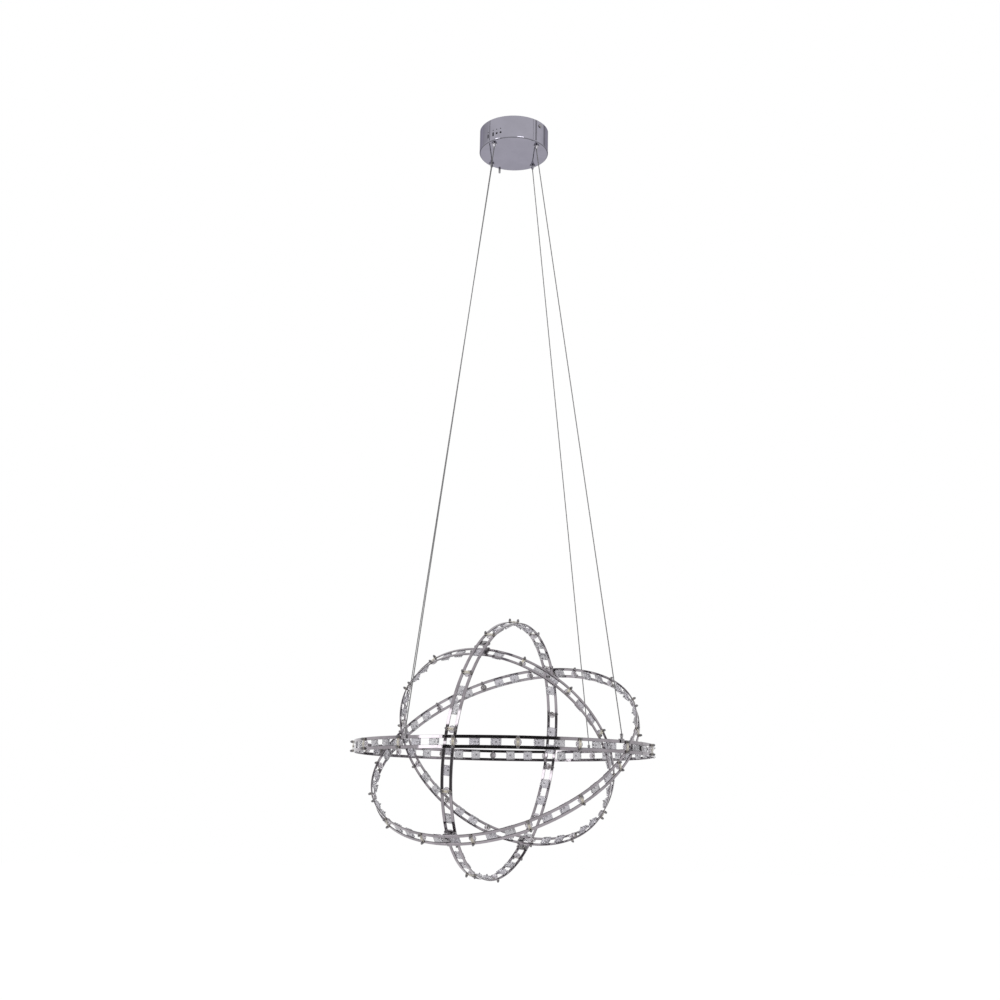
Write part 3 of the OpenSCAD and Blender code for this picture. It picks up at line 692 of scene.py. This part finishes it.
def cut_square(x: float, half: float, corner: float) -> Ring:
    """A square across X whose corners are cut off.

    Args:
        x: Where it lies along X.
        half: Half its side.
        corner: What each corner loses along both sides.

    Returns:
        Its points, CORNERS of them.
    """
    a, b = half, half - corner
    corners = ((a, -b), (a, b), (b, a), (-b, a), (-a, b), (-a, -b), (-b, -a), (b, -a))
    return [Vector((x, y, z)) for y, z in corners]


def pill_ring(x: float, width: float, length: float, inset: float, z: float = 0.0, count: int = 28) -> Ring:
    """A strip with round ends across X, long along Z.

    Args:
        x: Where it lies along X.
        width: Its width along Y.
        length: Its length along Z.
        inset: What it loses all round.
        z: The height of its middle.
        count: The number of its points, an even number.

    Returns:
        Its points.
    """
    r, reach = width / 2 - inset, length / 2 - width / 2
    ring = []
    for i in range(count):
        t = math.tau * (i + 0.5) / count
        end = math.copysign(reach, math.sin(t))
        ring.append(Vector((x, r * math.cos(t), z + r * math.sin(t) + end)))
    return ring


def polar(r: float, azimuth: float, z: float) -> Vector:
    """The point at this radius, azimuth in degrees and height."""
    t = math.radians(azimuth)
    return Vector((r * math.cos(t), r * math.sin(t), z))


# ---------------- the lamp


@dataclass(frozen=True)
class Crystal:
    """A square crystal with a cut front, a bored seat for its pin and a flat back on the rails, in millimetres."""

    width: float = 16.0
    depth: float = 6.0
    girdle: float = 3.0
    table: float = 8.0
    corner: float = 1.5
    chamfer: float = 0.5
    crown_share: float = 0.5
    bore: float = 0.98
    bore_depth: float = 3.0

    def shape(self, back: float) -> Shape:
        """Builds one crystal.

        Args:
            back: Where its back lies along the hoop's radius.

        Returns:
            The crystal, pointing inwards.
        """
        half, table, front = self.width / 2, self.table / 2, back - self.depth
        # The crown's ring lies on the line of the bevels, its points halfway between the corners there.
        share = self.crown_share
        middle = back - self.girdle - (self.depth - self.girdle) * share
        corners = cut_square(middle, half + (table - half) * share, self.corner)
        crown = [(a + b) / 2 for a, b in zip(corners, corners[1:] + corners[:1])]
        shape = Shape()
        rear, edge, girdle, star, face, mouth, floor = (shape.add_ring(ring) for ring in (
            cut_square(back, half - self.chamfer, self.corner),
            cut_square(back - self.chamfer, half, self.corner),
            cut_square(back - self.girdle, half, self.corner),
            crown,
            cut_square(front, table, self.corner),
            self.bore_ring(front),
            self.bore_ring(front + self.bore_depth),
        ))
        shape.cap(rear)
        shape.band(rear, edge)
        shape.band(edge, girdle)
        shape.cut_band(girdle, star)
        shape.cut_band(star, face[1:] + face[:1])
        shape.band(face, mouth)
        shape.band(mouth, floor)
        shape.cap(floor)
        return shape

    def bore_ring(self, x: float) -> Ring:
        """The bore's ring, turned so that its points face those of the table."""
        turns = (math.radians(360 / CORNERS * (i - 0.5)) for i in range(CORNERS))
        return [Vector((x, self.bore * math.cos(t), self.bore * math.sin(t))) for t in turns]


@dataclass(frozen=True)
class Led:
    """One LED: a board across both rails, an emitter on each face and a round lens behind it, in millimetres.

    An emitter's body and dome are given as shares of its radius and height. Small parts sit `sunk` deep in the board.
    """

    board: Span = (5.0, 19.0)
    board_t: float = 1.2
    board_edge: float = 0.2
    sunk: float = 0.05
    emitter_r: float = 1.9
    emitter_h: float = 1.1
    inner_r: float = 0.9
    inner_h: float = 0.85
    body_h: float = 0.45
    body_half: Span = (1.02, 0.94)
    body_edge: float = 0.8
    body_corner: float = 0.3
    dome_r: float = 0.86
    dome_foot: float = 0.7
    dome_steps: int = 6
    dome_points: int = 20
    pad: Span = (1.3, 2.4)
    pad_points: int = 12
    pad_z: float = 3.9
    pad_rise: tuple[Span, ...] = ((0.07, 0.0), (0.1, 0.08))
    seat_r: float = 2.35
    seat_points: int = 24
    seat_z: float = 7.3875
    seat_rise: tuple[Span, ...] = ((0.08, 0.0), (0.1, 0.1))
    lens_points: int = 32
    lens_r: float = 5.75
    lens_girdle: float = 2.3
    lens_d: float = 4.6
    lens_front: float = 4.15

    def whole(self, foot: float) -> Shape:
        """Builds the board with its emitters, its pads and the seats of its studs.

        Args:
            foot: Where the board's inner face lies along the radius.

        Returns:
            The shape, with the coats of Coat.
        """
        shape = Shape()
        top, edge = foot + self.board_t, self.board_edge
        levels = ((foot, edge), (foot + edge, 0.0), (top - edge, 0.0), (top, edge))
        shape.loft([pill_ring(x, *self.board, inset) for x, inset in levels], Coat.BOARD)
        self.emitter(shape, top, 1.0, self.emitter_r, self.emitter_h)
        self.emitter(shape, foot, -1.0, self.emitter_r * self.inner_r, self.emitter_h * self.inner_h)
        for side in (-1.0, 1.0):
            pad = [pill_ring(top + rise, *self.pad, inset, side * self.pad_z, self.pad_points)
                   for rise, inset in ((-self.sunk, 0.0), *self.pad_rise)]
            shape.loft(pad, Coat.BRONZE)
            seat = [circle(top + rise, self.seat_r - inset, self.seat_points, side * self.seat_z)
                    for rise, inset in ((-self.sunk, 0.0), *self.seat_rise)]
            shape.loft(seat, Coat.BRONZE)
        return shape

    def emitter(self, shape: Shape, face: float, way: float, r: float, h: float) -> None:
        """Adds a square ceramic body with a dome of phosphor.

        Args:
            shape: The shape that gets it.
            face: The board's face that it stands on.
            way: 1 for outwards, -1 for inwards.
            r: The radius of the dome.
            h: Its height over the board.
        """
        body, (wide, narrow) = h * self.body_h, self.body_half
        levels = ((-self.sunk, wide), (body * self.body_edge, wide), (body, narrow))
        shape.loft([cut_square(face + way * rise, r * half, self.body_corner) for rise, half in levels], Coat.CERAMIC)
        levels = [(body * self.dome_foot, 1.0)]
        for t in (math.radians(90 / self.dome_steps * i) for i in range(self.dome_steps)):
            levels.append((body + (h - body) * math.sin(t), math.cos(t)))
        dome = [circle(face + way * rise, r * self.dome_r * share, self.dome_points) for rise, share in levels]
        shape.loft(dome, Coat.PHOSPHOR)

    def lens(self, back: float) -> Shape:
        """Builds the round lens: a recess for the emitter, a flange, a bevel and a domed front.

        Args:
            back: Where its back lies along the radius.

        Returns:
            The lens, pointing inwards.
        """
        rim, girdle, deep, front = self.lens_r, self.lens_girdle, self.lens_d, self.lens_front
        recess = ((0.9, 0.35), (0.9, 1.2), (0.5, 1.7), (0.0, 2.1))
        flange = ((0.0, 4.9), (0.35, rim - 0.15), (0.5, rim), (girdle - 0.2, rim), (girdle, rim - 0.05))
        bevel = ((girdle + 0.9, 5.15), (deep - 0.75, front + 0.2))
        dome = ((deep - 0.55, front - 0.1), (deep - 0.3, 3.1), (deep - 0.1, 1.9), (deep, 0.5))
        shape = Shape()
        shape.loft([circle(back - depth, r, self.lens_points) for depth, r in recess + flange + bevel + dome])
        return shape


@dataclass
class Hoop:
    """One hoop: two chrome rails with crystals and LEDs across them, and its pivots.

    Lengths are in millimetres. `index` counts the hoops inwards, and `turns` holds their tilts at rest in that order.
    `led_start` is the first LED's place in steps between LEDs, and only one crystal follows the LEDs in `lone_after`.
    """

    body: Body
    prefix: str
    rails: tuple[str, str]
    index: int
    led_count: int
    led_start: float
    lone_after: tuple[int, ...]
    finishes: Finishes
    outer_r: float = 250.0
    step: float = 19.0
    rail_t: float = 1.6
    rail_w: float = 5.0
    width: float = 20.0
    seat: float = 0.03
    board_gap: float = 0.03
    turns: tuple[tuple[float, str], ...] = ((-29.0, "Z"), (39.0, "X"), (-81.0, "Y"), (-92.0, "X"))
    crystal: Crystal = Crystal()
    led: Led = Led()

    @property
    def placement(self) -> Matrix:
        """The hoop's frame at rest, in millimetres: Z is its axis."""
        matrix = Matrix.Translation((0.0, 0.0, HOOP_Z / MM))
        for angle, axis in self.turns[: self.index + 1]:
            matrix @= Matrix.Rotation(math.radians(angle), 4, axis)
        return matrix

    @property
    def radius(self) -> float:
        """The radius of the middle of the rail strips."""
        return self.outer_r - self.step * self.index

    def seat_in(self, width: float) -> float:
        """Where the flat back of something this wide lies inside the rails."""
        return math.sqrt((self.radius - self.rail_t / 2) ** 2 - (width / 2) ** 2) - self.seat

    def led_angles(self) -> list[float]:
        """The angle of each LED round the hoop, in degrees."""
        return [(i + self.led_start) * 360 / self.led_count for i in range(self.led_count)]

    def crystal_angles(self) -> list[float]:
        """Places two crystals between most LEDs, and one where a pivot takes the room of the other.

        Returns:
            The angle of each crystal, in degrees.
        """
        gap = 360 / self.led_count
        out = []
        for i, start in enumerate(self.led_angles()):
            shares = (1 / 2,) if i in self.lone_after else (1 / 3, 2 / 3)
            out += [start + gap * share for share in shares]
        return out

    def round_hoop(self, angles: Iterable[float]) -> list[Matrix]:
        """The placements of parts at these angles, each with X outwards."""
        return [self.placement @ Matrix.Rotation(math.radians(a), 4, "Z") for a in angles]

    def add(self, shape: Shape, node: str, materials: Sequence[Material], slot: Slot, smooth_under: float) -> None:
        """Turns a shape into a piece that stands for one of the hoop's CAD nodes.

        Args:
            shape: The shape.
            node: The node's name without the hoop's prefix.
            materials: The piece's materials, in the order of its coats.
            slot: A material slot for the piece; not used.
            smooth_under: Up to this angle, in degrees, edges are shaded smooth.
        """
        name = f"{self.prefix}_{node}"
        item = shape.piece(f"{name}_cut", materials, smooth_under)
        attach(item, self.body.value)
        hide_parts(name)

    def build(self) -> None:
        """Builds the crystals, LED boards and lenses."""
        finishes, leds = self.finishes, self.round_hoop(self.led_angles())
        crystals = self.crystal.shape(self.seat_in(self.crystal.width)).placed(self.round_hoop(self.crystal_angles()))
        self.add(crystals, "crystals", [finishes.crystal], Slot.CRYSTAL, CUT_GLASS)
        lenses = self.led.lens(self.seat_in(2 * self.led.lens_r)).placed(leds)
        self.add(lenses, "led_lenses", [finishes.lens], Slot.LENS, TURNED)
        boards = self.led.whole(self.radius + self.rail_t / 2 + self.board_gap).placed(leds)
        coats = [finishes.board, finishes.ceramic, finishes.phosphor, finishes.pad]
        self.add(boards, "led_boards", coats, Slot.LED_BOARD, TURNED)

    def dress(self) -> None:
        """Gives the hoop's CAD nodes their finishes."""
        at = Matrix.Translation((0.0, 0.0, HOOP_Z)) @ self.placement.to_3x3().to_4x4()
        # The strips' edges get painted dark reflection lines.
        strip = ((self.width / 2 - self.rail_w / 2) * MM, self.rail_w / 2 * MM)
        chrome = Chrome().material(f"{self.prefix}_rail_chrome", at, strip)
        paint({f"{self.prefix}_rail_{side}": chrome for side in self.rails})
        finishes = self.finishes
        parts = {
            "crystal_pins": finishes.pins, "led_studs": finishes.studs, "pivot_plates": finishes.fitting,
            "rivets": finishes.pivot, "bushes": finishes.bush, "pivot_pins": finishes.pivot,
            "pivot_nuts": finishes.pivot,
        }
        named = ((f"{self.prefix}_{part}", material) for part, material in parts.items())
        paint({node: material for node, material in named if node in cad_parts})


@dataclass
class CableSet:
    """The four twisted steel cables, from the glands in the canopy down to the grips on the outermost hoop.

    Lengths are in millimetres. `groove` is the share of the cable's radius between two strands, and each of `places`
    names a cable with the azimuths of its gland and its lug, in degrees.
    """

    finishes: Finishes
    diameter: float = 1.8
    strands: int = 6
    groove: float = 0.8
    lay: float = 16.0
    pitch: float = 0.8
    top_z: float = -35.8
    mouth_z: float = -51.5
    head_z: float = -52.5
    foot_z: float = -1117.3
    end_z: float = -1124.67
    head_r: float = 55.0
    foot_r: float = 250.0
    bend_r: float = 14.0
    bend_steps: int = 6
    lift: float = 500.0
    places: tuple[tuple[str, float, float], ...] = (
        ("cable_front_right", -41.0, -43.35),
        ("cable_back_right", 49.0, 51.85),
        ("cable_back_left", 139.0, 137.65),
        ("cable_front_left", 229.0, 232.85),
    )

    def route(self, gland: float, lug: float) -> list[Vector]:
        """The middle line of one cable, in millimetres.

        Args:
            gland: The azimuth of the gland that the cable comes out of, in degrees.
            lug: The azimuth of the lug that it goes to.

        Returns:
            Points close together, with both bends rounded.
        """
        head, foot = polar(self.head_r, gland, self.head_z), polar(self.foot_r, lug, self.foot_z)
        run = (foot - head).normalized()
        down = Vector((0, 0, -1))
        cut = self.bend_r * math.tan(down.angle(run) / 2)
        line = [polar(self.head_r, gland, self.top_z)]
        line += self.arc(head - down * cut, head, head + run * cut)
        line += self.arc(foot - run * cut, foot, foot + down * cut)
        line.append(polar(self.foot_r, lug, self.end_z))
        return self.spaced(line)

    def arc(self, start: Vector, corner: Vector, stop: Vector) -> list[Vector]:
        """Points on a small bend from start to stop, drawn in by the corner."""
        shares = (i / self.bend_steps for i in range(self.bend_steps + 1))
        return [start.lerp(corner, t).lerp(corner.lerp(stop, t), t) for t in shares]

    def spaced(self, line: list[Vector]) -> list[Vector]:
        """Sets points about one pitch apart on a line.

        Args:
            line: The line's corners.

        Returns:
            The same line with all its points.
        """
        out = []
        for a, b in zip(line, line[1:]):
            count = max(1, round((b - a).length / self.pitch))
            out += [a.lerp(b, i / count) for i in range(count)]
        return out + [line[-1]]

    def tube(self, line: list[Vector]) -> Shape:
        """Twists the strands round the middle line.

        Args:
            line: The points of the middle line.

        Returns:
            The cable.
        """
        r = self.diameter / 2
        reach = line[-1] - line[0]
        side = Vector((-reach.y, reach.x, 0.0)).normalized()
        rings, way = [], 0.0
        for i, point in enumerate(line):
            ahead = (line[min(i + 1, len(line) - 1)] - line[max(i - 1, 0)]).normalized()
            across = side.cross(ahead).normalized()
            if i:
                way += (point - line[i - 1]).length
            ring = []
            for j in range(self.strands * 2):
                t = math.pi * j / self.strands + math.tau * way / self.lay
                far = r if j % 2 == 0 else r * self.groove
                ring.append(point + side * (far * math.cos(t)) + across * (far * math.sin(t)))
            rings.append(ring)
        shape = Shape()
        shape.loft(rings)
        return shape

    def build(self) -> None:
        """Builds each cable, puts it on the canopy with a mesh of its own and hides its CAD node."""
        for name, gland, lug in self.places:
            line = self.route(gland, lug)
            item = self.tube(line).piece(f"{name}_strands", [self.finishes.cable], STRANDED)
            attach(item, Body.CANOPY.value)
            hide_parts(name)
            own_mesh(item)

    def dress(self) -> None:
        """Gives the lugs and grips on the outermost hoop their finishes."""
        paint({"cable_lugs": self.finishes.fitting, "cable_grips": self.finishes.pivot})


@dataclass
class Canopy:
    """The ceiling canopy with what it holds, all carried over from the CAD."""

    finishes: Finishes

    def dress(self) -> None:
        """Gives the canopy's CAD nodes their finishes."""
        finishes = self.finishes
        paint({
            "canopy_cup": finishes.canopy, "ceiling_bracket": finishes.bracket, "bracket_screws": finishes.pivot,
            "driver_case": finishes.driver, "terminal_block": finishes.terminal, "vent_gauze": finishes.gauze,
            "remote_receiver": finishes.receiver, "cable_glands": finishes.gland, "gland_nuts": finishes.bracket,
        })


# ---------------- the studio


@dataclass(frozen=True)
class Card:
    """A curved card round the hoops that only polished surfaces see.

    Its spans are in degrees: the azimuth is 0 towards the camera and positive to the right, and the elevation is over
    the level of the hoops. A strength of 1 is white. The distance is in metres.
    """

    name: str
    azimuth: Span
    elevation: Span
    strength: float
    distance: float = 1.95
    steps: int = 24


@dataclass
class Studio:
    """Camera, lamps, pale floor and the cards that polished metal reflects.

    Lengths are in metres and angles in radians, and the camera comes from the fit to the photograph. The floor's glow
    is given for other rays and for camera, glossy and transmission rays. A lamp has its place, side and power in watts.
    """

    eye: Xyz = (0.00212, -2.21364, -1.23681)
    yaw: float = -0.00737
    pitch: float = 0.23424
    roll: float = 0.0178
    focal_px: float = 1299.17
    frame_px: float = 1000.0
    sensor: float = 36.0
    clip: Span = (0.05, 60.0)
    ambient: float = 0.62
    floor_z: float = -2.6
    floor_reach: float = 30.0
    floor_points: int = 72
    floor_tone: float = 0.3
    floor_rough: float = 0.9
    floor_glow: Span = (0.35, 0.84)
    aim: Xyz = (0.0, 0.0, -0.9)
    lamps: tuple[tuple[Light, Xyz, float, float], ...] = (
        (Light.KEY, (-2.2, -2.6, 0.6), 1.6, 34.0),
        (Light.FILL, (2.6, -1.6, -0.6), 2.0, 16.0),
        (Light.TOP, (0.3, 0.6, 1.6), 2.2, 26.0),
    )
    cards: tuple[Card, ...] = (
        Card("dark_low", (-63.0, -44.0), (-36.0, -6.0), 0.14),
        Card("dark_side", (-49.5, -43.3), (-6.0, 1.3), 0.1),
        Card("dark_level", (-43.3, 38.8), (-4.0, 9.5), 0.03),
        Card("dark_high", (-49.5, -43.3), (4.5, 16.5), 0.1),
        Card("strip_level", (-61.6, -43.3), (1.3, 4.5), 4.0),
        Card("strip_low", (-61.6, -49.5), (-6.0, 1.3), 4.0),
        Card("strip_left", (-61.6, -49.5), (4.5, 12.0), 4.0),
        Card("strip_high", (-61.0, -44.5), (16.6, 28.0), 4.0),
        Card("rim_left", (-61.0, -52.0), (35.0, 41.0), 5.0),
        Card("rim_middle", (10.5, 31.0), (35.0, 41.0), 6.0),
        Card("wall_left", (-128.0, -93.0), (43.0, 62.0), 0.78),
        Card("wall_notch", (-90.0, -87.0), (43.0, 62.0), 0.4),
        Card("wall_line", (66.0, 68.0), (43.0, 62.0), 0.6),
        Card("wall_streak", (75.0, 81.5), (43.0, 62.0), 0.45),
        Card("wall_edge", (116.0, 130.0), (43.0, 62.0), 0.55),
    )

    def camera(self) -> None:
        """Places the camera at the photograph's viewing angle."""
        cy, sy = math.cos(self.yaw), math.sin(self.yaw)
        cp, sp = math.cos(self.pitch), math.sin(self.pitch)
        ahead, right = Vector((sy * cp, cy * cp, sp)), Vector((cy, -sy, 0.0))
        up = right.cross(ahead)
        cr, sr = math.cos(self.roll), math.sin(self.roll)
        right, up = cr * right + sr * up, cr * up - sr * right
        data = bpy.data.cameras.new("photo_camera")
        data.sensor_width = self.sensor
        data.lens = self.sensor * self.focal_px / self.frame_px
        data.clip_start, data.clip_end = self.clip
        item = linked("photo_camera", data)
        item.matrix_world = Matrix.Translation(self.eye) @ Matrix((right, up, -ahead)).transposed().to_4x4()
        bpy.context.scene.camera = item

    def world(self) -> None:
        """White for the camera, metal and glass, and a softer sky for the shading."""
        world = bpy.data.worlds.new("studio_sky")
        bpy.context.scene.world = world
        world.use_nodes = True
        sky = world.node_tree.nodes["Background"].inputs
        feed(sky["Color"], WHITE)
        feed(sky["Strength"], self.straight_seen(world.node_tree, self.ambient, 1.0))

    def straight_seen(self, tree: bpy.types.NodeTree, other: float, seen: float) -> Socket:
        """Adds the nodes that pick a value by the kind of ray.

        Args:
            tree: The tree that gets them.
            other: The value for all other rays.
            seen: The value for camera, glossy and transmission rays.

        Returns:
            The value for the ray.
        """
        path = new_node(tree, "LightPath").outputs
        total = path["Is Camera Ray"]
        for kind in ("Is Glossy Ray", "Is Transmission Ray"):
            total = new_node(tree, "Math", total, path[kind], operation="MAXIMUM").outputs[0]
        return new_node(tree, "MapRange", total, 0.0, 1.0, other, seen).outputs[0]

    def surface(self, mesh: bpy.types.Mesh, tone: float, rough: float = 0.5) -> tuple[bpy.types.Object, Socket]:
        """Adds one of the studio's own surfaces, which can give white light.

        Args:
            mesh: Its mesh, whose name it takes.
            tone: How bright it is where lamps light it.
            rough: Its roughness.

        Returns:
            The object and the socket of that light's strength.
        """
        material = bpy.data.materials.new(mesh.name)
        material.use_nodes = True
        shader = material.node_tree.nodes["Principled BSDF"].inputs
        feed(shader["Base Color"], (tone, tone, tone))
        feed(shader["Roughness"], rough)
        feed(shader["Specular IOR Level"], 0.0)
        feed(shader["Emission Color"], WHITE)
        mesh.materials.append(material)
        return linked(mesh.name, mesh), shader["Emission Strength"]

    def floor(self) -> None:
        """A pale floor that keeps the lamp's soft shadow and runs out into the white background."""
        turns = (math.tau * i / self.floor_points for i in range(self.floor_points))
        ring = [(self.floor_reach * math.cos(t), self.floor_reach * math.sin(t), self.floor_z) for t in turns]
        mesh = bpy.data.meshes.new("floor")
        mesh.from_pydata(ring, [], [tuple(range(self.floor_points))])
        item, glow = self.surface(mesh, self.floor_tone, self.floor_rough)
        feed(glow, self.straight_seen(glow.id_data, *self.floor_glow))

    def lamp(self, kind: Light, place: Xyz, side: float, power: float) -> None:
        """Adds a soft square lamp that looks at the hoops.

        Args:
            kind: Which lamp it is.
            place: Where it hangs.
            side: The length of its side.
            power: Its power in watts.
        """
        data = bpy.data.lights.new(kind.value, "AREA")
        data.size, data.energy = side, power
        item = linked(kind.value, data)
        item.location = place
        item.rotation_euler = (Vector(self.aim) - Vector(place)).to_track_quat("-Z", "Y").to_euler()
        item.visible_glossy = False

    def card(self, card: Card) -> None:
        """Adds one of the curved cards round the hoops.

        Args:
            card: Its name, spans, strength and distance.
        """
        start, stop = card.azimuth
        points = []
        for i in range(card.steps + 1):
            t = math.radians(start + (stop - start) * i / card.steps)
            for e in card.elevation:
                height = HOOP_Z + card.distance * math.tan(math.radians(e))
                points.append((card.distance * math.sin(t), -card.distance * math.cos(t), height))
        faces = [(i, i + 2, i + 3, i + 1) for i in range(0, 2 * card.steps, 2)]
        mesh = bpy.data.meshes.new(card.name)
        mesh.from_pydata(points, [], faces)
        item, glow = self.surface(mesh, 0.0)
        feed(glow, card.strength)
        item.visible_camera = item.visible_diffuse = item.visible_shadow = item.visible_transmission = False

    def build(self) -> None:
        """Builds the whole studio."""
        self.world()
        self.floor()
        for lamp in self.lamps:
            self.lamp(*lamp)
        for card in self.cards:
            self.card(card)


def timed(work: Callable[[], None]) -> None:
    """Runs one step of the build.

    Args:
        work: The step.
    """
    work()


def main() -> None:
    """Builds the studio and the lamp."""
    logging.basicConfig(level=logging.INFO, format="%(name)s: %(message)s")
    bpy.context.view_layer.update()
    bpy.context.scene.view_settings.view_transform = "Standard"
    studio = Studio()
    timed(studio.camera)
    finishes = Finishes()
    cables = CableSet(finishes)
    timed(cables.build)
    timed(cables.dress)
    timed(Canopy(finishes).dress)
    hoops = (
        Hoop(Body.OUTER, "outer", ("top", "bottom"), 0, 16, 0.5, (), finishes),
        Hoop(Body.SECOND, "second", ("top", "bottom"), 1, 16, 0.5, (), finishes),
        Hoop(Body.THIRD, "third", ("left", "right"), 2, 14, 0.25, (3, 6, 10, 13), finishes),
        Hoop(Body.INNER, "inner", ("top", "bottom"), 3, 14, -0.25, (0, 7), finishes),
    )
    for hoop in hoops:
        timed(hoop.build)
        timed(hoop.dress)
    timed(studio.build)


if __name__ == "__main__":
    main()
